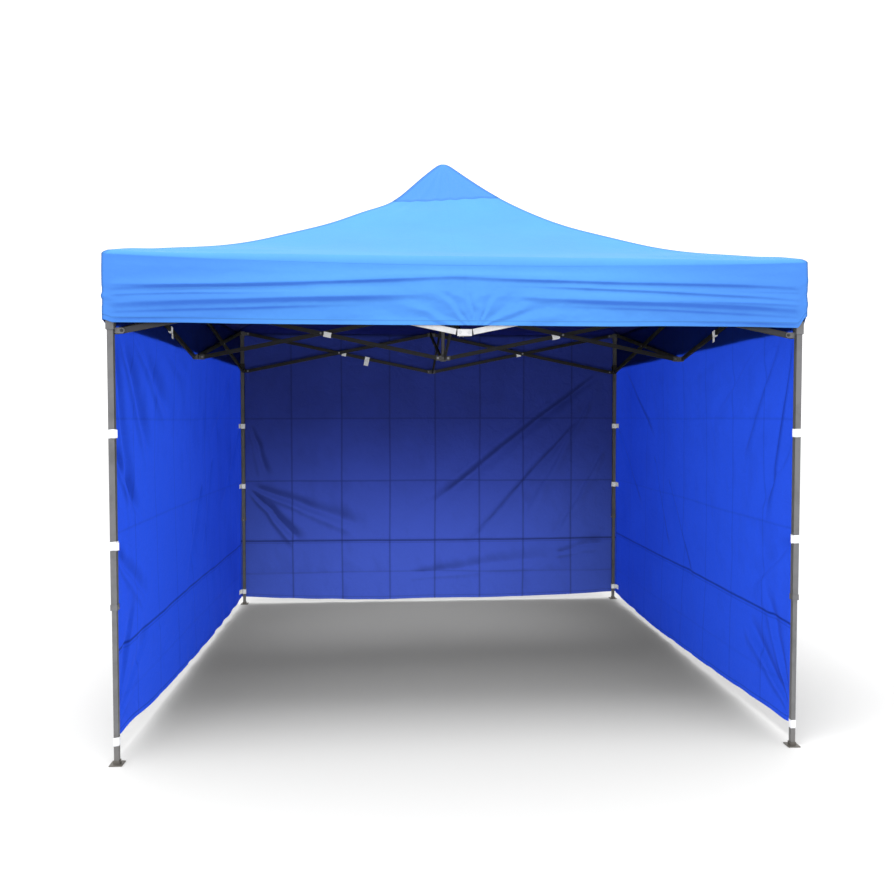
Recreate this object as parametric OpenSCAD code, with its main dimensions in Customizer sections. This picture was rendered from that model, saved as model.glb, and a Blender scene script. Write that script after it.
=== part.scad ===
// Folding canopy: four telescopic legs, scissor trusses along the sides and in to a centre
// pole, a four-gore roof with valances, and one cloth wall round three sides.
// Millimetres. The ground is z = 0 and the pole stands on the Z axis; front is -Y, right is +X.

/* [Overall size] */
// Width and depth of the roof over its cloth
roof_w = 3000; // [2900:20:3100]
// Height of the roof's straight lower edge above the ground
eave_z = 2150; // [2145:5:2170]
// Height of the peak above the ground
peak_z = 2990; // [2970:5:3050]
// Height of the hanging valance
valance_h = 290; // [220:10:320]

/* [Folding frame] */
// Height of the upper row of truss pivots
upper_z = 2120; // [2119:1:2124]
// Height between the lower and upper truss pivots when open
truss_h = 290; // [280:5:300]
// Thickness of a truss bar, across its pivots
bar_t = 12; // [11:0.5:12]
// Depth of a truss bar
bar_d = 24; // [22:0.5:24]
// Wall of a truss bar's tube
bar_wall = 0.8; // [0.8:0.1:1.4]
// Radius of a pivot bolt
bolt_r = 4; // [3:0.25:4]

/* [Legs] */
// Outside of the outer leg tube
leg_out = 25; // [24:0.5:25]
// Outside of the inner leg tube
leg_in = 20; // [18:0.5:20]
// Wall of both leg tubes
leg_wall = 1; // [1:0.1:1.5]
// Height of the outer leg's lower end
step_z = 658; // [646:2:658]
// Height of the inner leg's top inside the outer leg
inner_top_z = 1250; // [1150:10:1300]
// Side of the square foot plate
foot_w = 54; // [50:1:70]

/* [Centre pole] */
// Outer radius of the pole's lower tube
pole_r = 11; // [10:0.25:11]
// Length of the pole's lower tube
pole_len = 800; // [780:10:820]

/* [Cloth] */
// Thickness of the cloth solids
cloth_t = 1.5; // [1.2:0.1:1.8]
// Height of the wall's hem above the ground
hem_z = 60; // [40:5:90]

/* [Hidden] */
$fn = 48;

// Frame layout
half_roof = roof_w / 2;
leg_x = half_roof - 25;     // middle to leg axis
leg_pivot = 44;             // leg axis to pivot, along the side
mid_pivot = 20;             // centre of a middle joint to a side bar's pivot
inner_pivot = 32;           // side plane to inner bar's pivot
hub_pivot = 32;             // hub axis to pivot
plane_off = 9;              // side plane to bar plane
lower_z = upper_z - truss_h;

// Bars
bar_run = leg_x - leg_pivot - mid_pivot;  // horizontal run of every bar
bar_len = sqrt(bar_run * bar_run + truss_h * truss_h);
slope = atan2(truss_h, bar_run);
half_t = bar_t / 2;
end_r = bar_d / 2;
plug_len = 34;              // pivot to the tip of an end plug's tongue
tube_start = plug_len / 2;  // pivot to the end of the tube
seat = 0.2;                 // play beside a bar on its crossing bolt

// Pivots and joint bodies
hole_r = bolt_r + 0.05;     // running fit over a bolt
slot_half = half_t + 0.3;   // half width of a bar's slot
cheek = slot_half + 2.4;    // slot centre to outside of its cheek
grip = cheek + 0.1;         // slot centre to the bolt's head or nut
body_half = 14;             // half height of hubs and middle joints
arm_r = 12;                 // half height and end radius of a leg fitting's arm

// Centre pole
pole_wall = 1.2;
hub_boss_half = 20;         // half height of a hub's central boss
stage_r = pole_r - 1.7;     // outer radius of the upper stage
stage_len = 860;
cap_z = peak_z - 40;        // underside of the cap's rim

// Legs
half_out = leg_out / 2;
half_in = leg_in / 2;
bore_play = 0.05;           // radial play of a pin or button in its bore
pin_r = 3;
pin_y = -7;
pin_z = 40;                 // above the lower pivots
button_r = 3.5;
button_z = step_z + 7;

// Cloth
wall_in = 21.5;             // leg axis to the inner face of the wall cloth
wall_t = 1.2;
wall_corner = 3;            // cut across the wall's corners
strap_t = 1.3;

// Bar ties: distances along the bar, for the front, right, rear and left sides
TIES_A1 = [[], [520], [690], []];
TIES_A2 = [[], [], [682, 497], [520]];
TIES_C = [[], [680], [], [680]];

steel = [0.56, 0.56, 0.58];
dark_grey = [0.30, 0.29, 0.28];
plastic = [0.12, 0.12, 0.13];
zinc = [0.75, 0.76, 0.78];
sky_blue = [0.42, 0.72, 0.98];
royal_blue = [0.12, 0.25, 0.80];
white = [0.92, 0.92, 0.92];

// --- Placing: k counts quarter turns, 0 = front side or front left leg ---

module side(k) rotate([0, 0, 90 * k]) children();
// a leg part, drawn with the leg axis as its origin
module at_leg(k) side(k) translate([-leg_x, -leg_x, 0]) children();
// the same shape along both sides that meet at a leg
module both_faces() {
    children();
    mirror([1, -1, 0]) children();
}

// --- Basic shapes: x, y and z are [from, to] ranges ---

function about(half, centre = 0) = [centre - half, centre + half];

module box(x, y, z)
    translate([x[0], y[0], z[0]]) cube([x[1] - x[0], y[1] - y[0], z[1] - z[0]]);
module post(half, z) box(about(half), about(half), z);
module cyl_x(radius, x)
    translate([x[0], 0, 0]) rotate([0, 90, 0]) cylinder(r = radius, h = x[1] - x[0]);
module cyl_y(radius, y)
    translate([0, y[0], 0]) rotate([-90, 0, 0]) cylinder(r = radius, h = y[1] - y[0]);

// --- Pivots ---

head_h = 2.6;

// shank along Y up to shank_end, with a round head at the low end
module headed_shank(y, shank_end) {
    cyl_y(bolt_r, [y[0] - 1, shank_end]);
    cyl_y(6.6, [y[0] - head_h, y[0]]);
}
// bolt along Y with a head and a hexagon nut
module bolt_y(y) {
    headed_shank(y, y[1] + 1);
    translate([0, y[1], 0]) rotate([-90, 0, 0]) cylinder(r = 7, h = head_h, $fn = 6);
}
module bolt_x(x) rotate([0, 0, -90]) bolt_y(x);

// cutters: bolt hole, and slot for a bar whose eye is at x = 0 and which leaves towards +X
module bore_y() cyl_y(hole_r, about(14));
module bore_x() cyl_x(hole_r, about(14));
module slot_x(y) box([-end_r - 0.6, 60], about(slot_half, y), about(60));

// --- Truss bars, drawn from the origin along +X ---

module bar_tube() difference() {
    box([tube_start, bar_len - tube_start], about(half_t), about(end_r));
    box([0, bar_len], about(half_t - bar_wall), about(end_r - bar_wall));
    translate([bar_len / 2, 0, 0]) cyl_y(hole_r, about(half_t + 1));
}
// moulded end of a bar: round eye outside, tongue inside the tube
module bar_plug() {
    tongue_gap = bar_wall + 0.1;
    difference() {
        union() {
            cyl_y(end_r, about(half_t));
            box([0, tube_start - 0.2], about(half_t), about(end_r));
            box([tube_start - 1, plug_len], about(half_t - tongue_gap), about(end_r - tongue_gap));
        }
        cyl_y(hole_r, about(half_t + 1));
    }
}
module bar() {
    color(dark_grey) bar_tube();
    color(plastic) {
        bar_plug();
        translate([bar_len, 0, 0]) mirror([1, 0, 0]) bar_plug();
    }
}
// bolt through a crossing, with the spacer that keeps the bars apart
module cross_bolt() color(zinc) translate([bar_len / 2, 0, 0]) {
    bolt_y([-half_t - seat, half_t + 2 * plane_off + 2 * seat]);
    cyl_y(8, [half_t + seat, half_t + 5.8]);
}
// cloth ties round a bar at the given distances along it
module ties(places) {
    play = 0.2;
    skin = 1.5;
    for (x = places) color(white) translate([x, 0, 0]) difference() {
        box(about(13), about(half_t + skin), about(end_r + skin));
        box(about(14), about(half_t + play), about(end_r + play));
    }
}

// A bars: middle joint below, leg head above, outboard plane
module bar_a(places) {
    bar();
    cross_bolt();
    ties(places);
}
module bar_a1(k) side(k) translate([-mid_pivot, -leg_x - plane_off, lower_z])
    rotate([0, 180 + slope, 0]) bar_a(TIES_A1[k]);
module bar_a2(k) side(k) translate([mid_pivot, -leg_x - plane_off, lower_z])
    rotate([0, -slope, 0]) bar_a(TIES_A2[k]);

// B bars: leg slider below, middle joint above, inboard plane
module bar_b1(k) side(k) translate([-leg_x + leg_pivot, -leg_x + plane_off, lower_z])
    rotate([0, -slope, 0]) bar();
module bar_b2(k) side(k) translate([leg_x - leg_pivot, -leg_x + plane_off, lower_z])
    rotate([0, 180 + slope, 0]) bar();

// C bars: lower hub to upper middle joint
module bar_c(k) side(k) translate([plane_off, -hub_pivot, lower_z])
    rotate([0, 0, -90]) rotate([0, -slope, 0]) {
        bar();
        ties(TIES_C[k]);
    }
// D bars: upper hub to lower middle joint
module bar_d(k) side(k) translate([-plane_off, -hub_pivot, upper_z])
    rotate([0, 0, -90]) rotate([0, slope, 0]) {
        bar();
        cross_bolt();
    }

// --- Middle joints ---

// two side bars in the plane y = plane, one inner bar in the plane x = plane
module mid_joint(k, height, plane) side(k) translate([0, -leg_x, height]) {
    color(plastic) difference() {
        union() {
            box(about(mid_pivot + 11), about(cheek, plane), about(body_half));
            box(about(cheek, plane), [plane, inner_pivot + 12], about(body_half));
            // filler inboard of the outer plane
            if (plane < 0) box(about(mid_pivot - 2), [plane, 12], about(body_half));
        }
        for (m = [0, 1]) mirror([m, 0, 0]) translate([mid_pivot, 0, 0]) {
            slot_x(plane);
            translate([0, plane, 0]) bore_y();
        }
        translate([plane, inner_pivot, 0]) {
            rotate([0, 0, 90]) slot_x(0);
            bore_x();
        }
    }
    color(zinc) {
        // the shanks of the side bars' bolts end inside the far cheek
        for (m = [-1, 1]) translate([m * mid_pivot, plane, 0])
            headed_shank([-grip, grip], cheek - 0.1);
        translate([plane, inner_pivot, 0]) bolt_x(about(grip));
    }
}
module mid_lower(k) mid_joint(k, lower_z, -plane_off);
module mid_upper(k) mid_joint(k, upper_z, plane_off);

// --- Hubs and centre pole ---

module at_hub_pivots(plane)
    for (k = [0:3]) side(k) translate([plane, -hub_pivot, 0]) children();

// hub: four slots in a pinwheel, one for each inner bar
module hub_body(plane, bore_r) {
    color(plastic) difference() {
        union() {
            translate([0, 0, -body_half]) cylinder(r = 46, h = 2 * body_half);
            translate([0, 0, -hub_boss_half]) cylinder(r = 18, h = 2 * hub_boss_half);
        }
        at_hub_pivots(plane) {
            rotate([0, 0, -90]) slot_x(0);
            bore_x();
            // flats so that the bolt's head and nut sit on a face
            box([cheek, 40], about(9), about(30));
            box([-40, -cheek], [-30, 9], about(30));
        }
        translate([0, 0, -30]) cylinder(r = bore_r, h = 60);
    }
    color(zinc) at_hub_pivots(plane) bolt_x(about(grip));
}
module hub_upper() translate([0, 0, upper_z]) hub_body(-plane_off, pole_r + 0.5);
module hub_lower() {
    floor_t = 4;
    foot_z = lower_z - hub_boss_half;
    tube_h = pole_len + hub_boss_half;
    translate([0, 0, lower_z]) hub_body(plane_off, pole_r + 0.1);
    // lower tube of the centre pole, standing in the hub on a closed end
    color(steel) difference() {
        translate([0, 0, foot_z]) cylinder(r = pole_r, h = tube_h);
        translate([0, 0, foot_z + floor_t]) cylinder(r = pole_r - pole_wall, h = tube_h);
    }
}
// upper stage of the centre pole, closed at its top, with the round cap at its end
module pole_upper() {
    color(steel) difference() {
        translate([0, 0, cap_z - stage_len]) cylinder(r = stage_r, h = stage_len + 2);
        translate([0, 0, cap_z - stage_len - 1])
            cylinder(r = stage_r - pole_wall, h = stage_len);
    }
    socket_r = stage_r + 0.1;
    collar_r = pole_r + 1;
    // cap section: radius, height above cap_z
    color(plastic) translate([0, 0, cap_z]) rotate_extrude() polygon([
        [socket_r, -14], [collar_r, -14], [collar_r, -2], [20, 0], [20, 3],
        [14, 7], [0, 9], [0, 2.2], [socket_r, 2.2]]);
}

// --- Legs ---

// slotted arm of a leg fitting, from its root to the pivot, in the bar plane y
module arm(root_x, y) difference() {
    union() {
        box([root_x, leg_pivot], about(cheek, y), about(arm_r));
        translate([leg_pivot, y, 0]) cyl_y(arm_r, about(cheek));
    }
    translate([leg_pivot, 0, 0]) slot_x(y);
    translate([leg_pivot, y, 0]) bore_y();
}
module arm_bolts(y) color(zinc) both_faces() translate([leg_pivot, y, 0]) bolt_y(about(grip));

module leg_head() {
    color(plastic) difference() {
        union() {
            post(half_out + 3, [-34, 17]);
            both_faces() arm(half_out + 2, -plane_off);
        }
        post(half_out + 0.1, [-40, 12.5]);
    }
    arm_bolts(-plane_off);
}
module button_bore(from_x)
    translate([0, 0, button_z]) cyl_x(button_r + bore_play, [from_x, 20]);

// collar at the outer leg's lower end, with the bore of the snap button
module leg_collar() color(plastic) difference() {
    post(half_out + 2, [step_z, step_z + 25]);
    post(half_out + 0.1, [step_z + 2.5, step_z + 40]);
    post(half_in + 0.4, [step_z - 1, step_z + 10]);
    button_bore(0);
}
module outer_leg(k) at_leg(k) difference() {
    union() {
        color(steel) difference() {
            post(half_out, [step_z + 3, upper_z + 12]);
            post(half_out - leg_wall, [step_z, upper_z + 20]);
        }
        translate([0, 0, upper_z]) leg_head();
        leg_collar();
    }
    // the button's bore passes through the tube as well
    button_bore(half_in + 0.1);
}

module inner_leg(k) at_leg(k) {
    color(steel) difference() {
        post(half_in, [5, inner_top_z]);
        post(half_in - leg_wall, [4, inner_top_z + 1]);
    }
    // foot plate with a low socket and two stake holes, each beside a face of the tube
    stake_edge = foot_w / 2 - 7;
    color(dark_grey) difference() {
        union() {
            post(foot_w / 2, [0, 4]);
            post(half_in + 3, [0, 18]);
        }
        post(half_in + 0.1, [4.5, 30]);
        for (place = [[stake_edge, -8], [-8, stake_edge]])
            translate([place[0], place[1], -1]) cylinder(r = 4, h = 10);
    }
}

// sliding fitting on the outer leg, with an arm to each side's B bar
module slider(k) at_leg(k) translate([0, 0, lower_z]) {
    color(plastic) difference() {
        union() {
            post(half_out + 4, [3, 58]);
            both_faces() arm(half_out + 2.6, plane_off);
        }
        post(half_out + 0.3, [0, 60]);
        translate([0, pin_y, pin_z]) cyl_x(pin_r + bore_play, [0, 30]);
    }
    arm_bolts(plane_off);
}
// pull knob and pin that lock the slider
module slider_pin(k) at_leg(k) translate([0, pin_y, lower_z + pin_z]) {
    color(zinc) cyl_x(pin_r, [half_out + 0.4, half_out + 9]);
    color(plastic) difference() {
        cyl_x(6, [half_out + 4.3, half_out + 13]);
        cyl_x(pin_r + 0.02, [half_out + 3, half_out + 9.1]);
    }
}
// snap button that holds the inner leg at its height
module leg_button(k) at_leg(k) color(zinc)
    translate([0, 0, button_z]) cyl_x(button_r, [half_in + 4.2, half_in + 8.5]);

// --- Roof ---

cols = 16;          // grid steps along the edge
rows = 14;          // grid steps up the slope
top_end = 0.994;    // fraction of the way to the middle where a gore stops
seam_gap = 0.8;     // sideways clearance to the next gore
sag = 14;           // greatest dip at the middle of a gore

// height over a fraction t of the way from the edge to the middle
function lift(t) = (peak_z - eave_z) * (0.42 * t + 0.58 * pow(t, 2.62));
// i along the edge, j up the slope, face 0 = under side, 1 = upper side
function gore_point(i, j, face) =
    let (
        u = -1 + 2 * i / cols,
        t = top_end * j / rows,
        reach = half_roof * (1 - t),
        dip = sag * sin(180 * min(1, t * 1.6)) * (1 - u * u)
    )
    [u * (reach - seam_gap), -reach + (j == 0 ? 0.6 : 0),
        eave_z + lift(t) - dip + face * cloth_t];
// number of a grid point in the point list
function id(i, j, face) = (face * (rows + 1) + j) * (cols + 1) + i;
function quad(a, b, c, d) = [[a, b, c], [a, c, d]];
// faces joining the under and upper sides along the grid line from one point to the next
function rim(i, j, next_i, next_j) =
    quad(id(i, j, 0), id(next_i, next_j, 0), id(next_i, next_j, 1), id(i, j, 1));

// one gore of the roof as a thin closed shell, and the valance below its edge
module roof(k) side(k) color(sky_blue) {
    polyhedron(
        points = [for (face = [0, 1]) for (j = [0:rows]) for (i = [0:cols])
            gore_point(i, j, face)],
        faces = [
            for (j = [0:rows - 1]) for (i = [0:cols - 1]) each concat(
                quad(id(i, j, 1), id(i, j + 1, 1), id(i + 1, j + 1, 1), id(i + 1, j, 1)),
                quad(id(i, j, 0), id(i + 1, j, 0), id(i + 1, j + 1, 0), id(i, j + 1, 0))),
            for (i = [0:cols - 1]) each concat(
                rim(i + 1, 0, i, 0),
                rim(i, rows, i + 1, rows)),
            for (j = [0:rows - 1]) each concat(
                rim(0, j, 0, j + 1),
                // split along the other end of the right edge's diagonal
                quad(id(cols, j, 0), id(cols, j, 1), id(cols, j + 1, 1), id(cols, j + 1, 0)))
        ]);
    box(about(half_roof - 2), [-half_roof - cloth_t, -half_roof],
        [eave_z - valance_h, eave_z - 1]);
}

// --- Side wall ---

// outline open to the front: left, rear and right at a distance reach from the middle
function wall_outline(reach, front_y) = let (corner = reach - wall_corner) [
    [-reach, front_y], [-reach, corner], [-corner, reach],
    [corner, reach], [reach, corner], [reach, front_y]];

// square strap round a leg, with tabs towards the leg's local -X and -Y
module strap(k, height, half, tabs) at_leg(k) translate([0, 0, height - 17]) {
    tab_run = [-wall_in + 0.4, -half - 1];
    difference() {
        post(half + strap_t, [0, 34]);
        post(half, [-1, 35]);
    }
    if (tabs[0] > 0) box(tab_run, about(9), [4, 30]);
    if (tabs[1] > 0) box(about(9), tab_run, [4, 30]);
}
// one cloth wrapped round the left, rear and right sides, strapped to the legs
module sidewall() {
    reach = leg_x + wall_in;
    front_y = -leg_x - 20;
    // tabs of each leg's straps: front left, front right, rear right, rear left
    leg_tabs = [[1, 0], [0, 1], [1, 1], [1, 1]];
    // strap rows: height, half width inside
    strap_rows = [[1400, half_out + 0.5], [930, half_out + 0.5], [100, half_in + 0.5]];

    color(royal_blue) translate([0, 0, hem_z])
        linear_extrude(height = eave_z - 22 - hem_z) difference() {
            polygon(wall_outline(reach + wall_t, front_y));
            polygon(wall_outline(reach, front_y - 1));
        }
    color(white) for (row = strap_rows) for (k = [0:3])
        strap(k, row[0], row[1], leg_tabs[k]);
}

hub_upper();
hub_lower();
pole_upper();
bar_d(0);  // inner_truss_front_bar_d
bar_d(1);  // inner_truss_right_bar_d
bar_d(2);  // inner_truss_rear_bar_d
bar_d(3);  // inner_truss_left_bar_d
bar_c(0);  // inner_truss_front_bar_c
bar_c(1);  // inner_truss_right_bar_c
bar_c(2);  // inner_truss_rear_bar_c
bar_c(3);  // inner_truss_left_bar_c
mid_lower(0);  // mid_lower_front
mid_lower(1);  // mid_lower_right
mid_lower(2);  // mid_lower_rear
mid_lower(3);  // mid_lower_left
mid_upper(0);  // mid_upper_front
mid_upper(1);  // mid_upper_right
mid_upper(2);  // mid_upper_rear
mid_upper(3);  // mid_upper_left
bar_a1(0);  // truss_front_bar_a1
bar_a1(1);  // truss_right_bar_a1
bar_a1(2);  // truss_rear_bar_a1
bar_a1(3);  // truss_left_bar_a1
bar_a2(0);  // truss_front_bar_a2
bar_a2(1);  // truss_right_bar_a2
bar_a2(2);  // truss_rear_bar_a2
bar_a2(3);  // truss_left_bar_a2
bar_b1(0);  // truss_front_bar_b1
bar_b1(1);  // truss_right_bar_b1
bar_b1(2);  // truss_rear_bar_b1
bar_b1(3);  // truss_left_bar_b1
bar_b2(0);  // truss_front_bar_b2
bar_b2(1);  // truss_right_bar_b2
bar_b2(2);  // truss_rear_bar_b2
bar_b2(3);  // truss_left_bar_b2
outer_leg(0);  // outer_leg_front_left
outer_leg(1);  // outer_leg_front_right
outer_leg(2);  // outer_leg_rear_right
outer_leg(3);  // outer_leg_rear_left
inner_leg(0);  // inner_leg_front_left
inner_leg(1);  // inner_leg_front_right
inner_leg(2);  // inner_leg_rear_right
inner_leg(3);  // inner_leg_rear_left
slider(0);  // slider_front_left
slider(1);  // slider_front_right
slider(2);  // slider_rear_right
slider(3);  // slider_rear_left
slider_pin(0);  // slider_pin_front_left
slider_pin(1);  // slider_pin_front_right
slider_pin(2);  // slider_pin_rear_right
slider_pin(3);  // slider_pin_rear_left
leg_button(0);  // leg_button_front_left
leg_button(1);  // leg_button_front_right
leg_button(2);  // leg_button_rear_right
leg_button(3);  // leg_button_rear_left
roof(0);  // roof_front
roof(1);  // roof_right
roof(2);  // roof_rear
roof(3);  // roof_left
sidewall();
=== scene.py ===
"""Looks of a square pop-up canopy: roof, valance, walls, straps, finishes, light and camera.

Metres, +Z up, ground at z = 0, the frame's middle on x = y = 0. The open front faces -Y and
right is +X. Cloth and straps are drawn for the front side (or the front left leg), then turned.
"""

import math

import bpy
import numpy as np
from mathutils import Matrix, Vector


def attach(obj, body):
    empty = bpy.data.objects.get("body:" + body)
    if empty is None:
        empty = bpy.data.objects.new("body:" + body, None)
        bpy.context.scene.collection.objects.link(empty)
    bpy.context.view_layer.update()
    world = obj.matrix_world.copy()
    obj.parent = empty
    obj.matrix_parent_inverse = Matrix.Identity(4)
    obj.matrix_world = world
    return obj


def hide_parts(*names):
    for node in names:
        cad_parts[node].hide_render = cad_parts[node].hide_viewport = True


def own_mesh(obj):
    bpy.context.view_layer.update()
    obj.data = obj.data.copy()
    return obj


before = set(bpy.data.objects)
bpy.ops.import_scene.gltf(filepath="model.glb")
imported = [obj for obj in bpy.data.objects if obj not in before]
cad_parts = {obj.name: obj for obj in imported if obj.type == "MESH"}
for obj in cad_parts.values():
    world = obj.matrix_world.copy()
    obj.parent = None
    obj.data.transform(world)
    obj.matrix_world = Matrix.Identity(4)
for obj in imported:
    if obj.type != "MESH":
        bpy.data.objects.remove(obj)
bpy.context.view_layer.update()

DETAIL = 1.0  # density of the cloth grids

SIDES = ["front", "right", "rear", "left"]
LEGS = ["front_left", "front_right", "rear_right", "rear_left"]

# cloth
ROOF_HALF = 1.5  # middle to the roof's edge
EAVE = 2.15
VALANCE = 0.29  # height of the valance
LEG_AXIS = 1.475  # x and y of the legs
WALL = LEG_AXIS + 0.0215  # inner face of the wall
WALL_THICK = 0.0008
WALL_OUT = WALL + WALL_THICK
WALL_TOP = 2.126
FOOT_ROOM = LEG_AXIS + 0.0270 + 0.0022 - WALL  # how far the wall stands out past the foot plates

# trusses
LOWER_Z = 1.83
UPPER_Z = 2.12
MID_PIVOT = 0.020  # from the middle of a side to its bars
LEG_PIVOT = 0.044  # from the leg's axis to the bars
HUB_PIVOT = 0.032  # from the frame's middle to the inner bars
BAR_OFFSET = 0.009  # bar's axis to the truss plane
SLOPE = math.atan2(UPPER_Z - LOWER_Z, LEG_AXIS - LEG_PIVOT - MID_PIVOT)


# ---------------------------------------------------------------- small maths
def turn(points, side):
    """Points drawn for the front, turned by quarter turns to the given side."""
    turned = np.array(points, float)
    for _ in range(side):
        x = turned[..., 0].copy()
        turned[..., 0] = -turned[..., 1]
        turned[..., 1] = x
    return turned


def ease(x, start, end):
    """Smooth step from 0 at start to 1 at end."""
    t = np.clip((np.asarray(x, float) - start) / (end - start), 0, 1)
    return t * t * (3 - 2 * t)


def fade(x, start, end):
    """Smooth step from 1 at start to 0 at end."""
    return 1 - ease(x, start, end)


def bell(x, width):
    return np.exp(-((np.asarray(x, float) / width) ** 2))


def ridge(x, before, after):
    """A fold's section: a bell with its own width on each side of 0."""
    return np.where(x < 0, bell(x, before), bell(x, after))


noise_tables = {}


def noise(x, y, seed):
    """Smooth lattice noise between -1 and 1."""
    if seed not in noise_tables:
        noise_tables[seed] = np.random.default_rng(seed).random((128, 128))
    grid = noise_tables[seed]
    x, y = np.broadcast_arrays(np.asarray(x, float), np.asarray(y, float))
    xi, yi = np.floor(x).astype(int), np.floor(y).astype(int)
    fx, fy = x - xi, y - yi
    sx, sy = fx * fx * (3 - 2 * fx), fy * fy * (3 - 2 * fy)
    x0, x1, y0, y1 = xi % 128, (xi + 1) % 128, yi % 128, (yi + 1) % 128
    low = grid[x0, y0] * (1 - sx) + grid[x1, y0] * sx
    high = grid[x0, y1] * (1 - sx) + grid[x1, y1] * sx
    return (low * (1 - sy) + high * sy) * 2 - 1


def layered_noise(x, y, seed, octaves=3):
    total, strength = 0.0, 1.0
    for i in range(octaves):
        total = total + strength * noise(x * 2**i, y * 2**i, seed + 17 * i)
        strength *= 0.5
    return total / 1.75


def from_line(x, y, x0, y0, x1, y1):
    """Signed distance across the line from (x0, y0) to (x1, y1), and share of the way along."""
    dx, dy = x1 - x0, y1 - y0
    length = math.hypot(dx, dy)
    along = ((x - x0) * dx + (y - y0) * dy) / length**2
    across = ((x - x0) * dy - (y - y0) * dx) / length
    return across, along


def graded(low, high, step, spots):
    """Places from low to high about step apart, closer at the (place, half width, step) spots."""
    step = step / DETAIL
    runs = [np.linspace(low, high, int(round((high - low) / step)) + 1)]
    finest = step
    for centre, half, spot_step in spots:
        spot_step = spot_step / DETAIL
        finest = min(finest, spot_step)
        start, end = max(low, centre - half), min(high, centre + half)
        if end > start:
            count = max(2, int(round((end - start) / spot_step)) + 1)
            runs.append(np.linspace(start, end, count))
    places = np.sort(np.concatenate(runs))
    keep = [places[0]]
    for x in places[1:-1]:
        if x - keep[-1] > 0.45 * finest and high - x > 0.45 * finest:
            keep.append(x)
    return np.array(keep + [places[-1]])


def subdivide(points, step, fewest):
    """A plan path cut into pieces about step long, at least fewest to a segment."""
    fine = []
    for (x0, y0), (x1, y1) in zip(points[:-1], points[1:]):
        n = max(fewest, int(math.hypot(x1 - x0, y1 - y0) / step))
        fine += [(x0 + (x1 - x0) * i / n, y0 + (y1 - y0) * i / n) for i in range(n)]
    return fine + [points[-1]]


# ---------------------------------------------------------------- mesh helpers
def sheet(name, points, uv, mask, materials, thick=0.0011, inward=True):
    """A thickened sheet of quads from a grid of points.

    mask holds the painted shade of creases, the seams with the painted shade along the walls'
    top edge, and the share of the roof's peak colour and of painted light and shade at each
    point;
    a second material goes on the far face.
    """
    rows, cols = points.shape[:2]
    idx = np.arange(rows * cols).reshape(rows, cols)
    quads = np.stack([idx[:-1, :-1], idx[:-1, 1:], idx[1:, 1:], idx[1:, :-1]], -1).reshape(-1, 4)
    corners = quads.reshape(-1)
    mesh = bpy.data.meshes.new(name)
    mesh.vertices.add(rows * cols)
    mesh.vertices.foreach_set("co", points.reshape(-1).astype(np.float32))
    mesh.loops.add(quads.size)
    mesh.loops.foreach_set("vertex_index", corners.astype(np.int32))
    mesh.polygons.add(len(quads))
    mesh.polygons.foreach_set("loop_start", np.arange(0, quads.size, 4, dtype=np.int32))
    mesh.polygons.foreach_set("loop_total", np.full(len(quads), 4, np.int32))
    mesh.polygons.foreach_set("use_smooth", np.ones(len(quads), bool))
    mesh.update(calc_edges=True)
    layer = mesh.uv_layers.new(name="UVMap")
    layer.data.foreach_set("uv", uv.reshape(-1, 2)[corners].reshape(-1).astype(np.float32))
    colour = np.ones((rows * cols, 4), np.float32)
    colour[:, :3] = np.clip(mask.reshape(-1, 3), 0, 1)
    attribute = mesh.color_attributes.new(name="cloth", type="FLOAT_COLOR", domain="POINT")
    attribute.data.foreach_set("color", colour.reshape(-1))
    mesh.validate()
    obj = bpy.data.objects.new(name, mesh)
    bpy.context.scene.collection.objects.link(obj)
    for material in materials:
        mesh.materials.append(material)
    solidify = obj.modifiers.new("thickness", "SOLIDIFY")
    solidify.thickness = thick
    solidify.offset = -1 if inward else 1
    solidify.use_even_offset = False
    if len(materials) > 1:
        solidify.material_offset = 1
    return obj


def ribbon(name, path, bottom, top, seed):
    """A webbing band: a plan path swept from bottom to top, with slightly wavy edges."""
    path = np.array(path, float)
    share = np.linspace(0, 1, 6)[:, None]
    run = np.concatenate([[0], np.cumsum(np.hypot(*np.diff(path, axis=0).T))])[None, :]
    points = np.zeros((len(share), len(path), 3))
    points[..., :2] = path
    points[..., 2] = bottom + (top - bottom) * share + 0.0012 * noise(run * 60, 3, seed)
    uv = np.stack(np.broadcast_arrays(run, (top - bottom) * share), -1)
    mask = np.zeros(points.shape)
    mask[0, :, 1] = mask[-1, :, 1] = 0.25
    return sheet(name, points, uv, mask, [WEB], thick=0.0009, inward=False)


def squash_side(obj, side, centre, keep):
    """Gives a side's cloth a mesh of its own; the anchor and axis for folding it across its width
    to the plane at centre are worked out but not used, so nothing folds.
    """
    anchor = turn(np.array([centre / (1 - keep), 0, 0]), side)
    axis = turn(np.array([1.0, 0, 0]), side)
    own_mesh(obj)


# ---------------------------------------------------------------- shader helpers
def new_material(name):
    material = bpy.data.materials.new(name)
    material.use_nodes = True
    material.node_tree.nodes.clear()
    return material, material.node_tree


def feed(tree, socket, value):
    """Links a socket, or sets a colour or number."""
    if isinstance(value, bpy.types.NodeSocket):
        tree.links.new(value, socket)
    elif isinstance(value, tuple):
        socket.default_value = (*value, 1.0)
    else:
        socket.default_value = value


def add(tree, kind, inputs=None, **settings):
    node = tree.nodes.new(kind)
    for key, value in settings.items():
        setattr(node, key, value)
    for key, value in (inputs or {}).items():
        feed(tree, node.inputs[key], value)
    return node


def mix(tree, share, first, second):
    node = add(tree, "ShaderNodeMix", {0: share, 6: first, 7: second}, data_type="RGBA")
    return node.outputs[2]


def combine(tree, operation, first, second):
    node = add(tree, "ShaderNodeMath", {0: first, 1: second}, operation=operation)
    return node.outputs[0]


def multiply(tree, first, second):
    return combine(tree, "MULTIPLY", first, second)


def noise_node(tree, vector, scale, detail, roughness, distortion=0.0):
    inputs = {"Vector": vector, "Scale": scale, "Detail": detail,
              "Roughness": roughness, "Distortion": distortion}
    return add(tree, "ShaderNodeTexNoise", inputs).outputs["Fac"]


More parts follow.
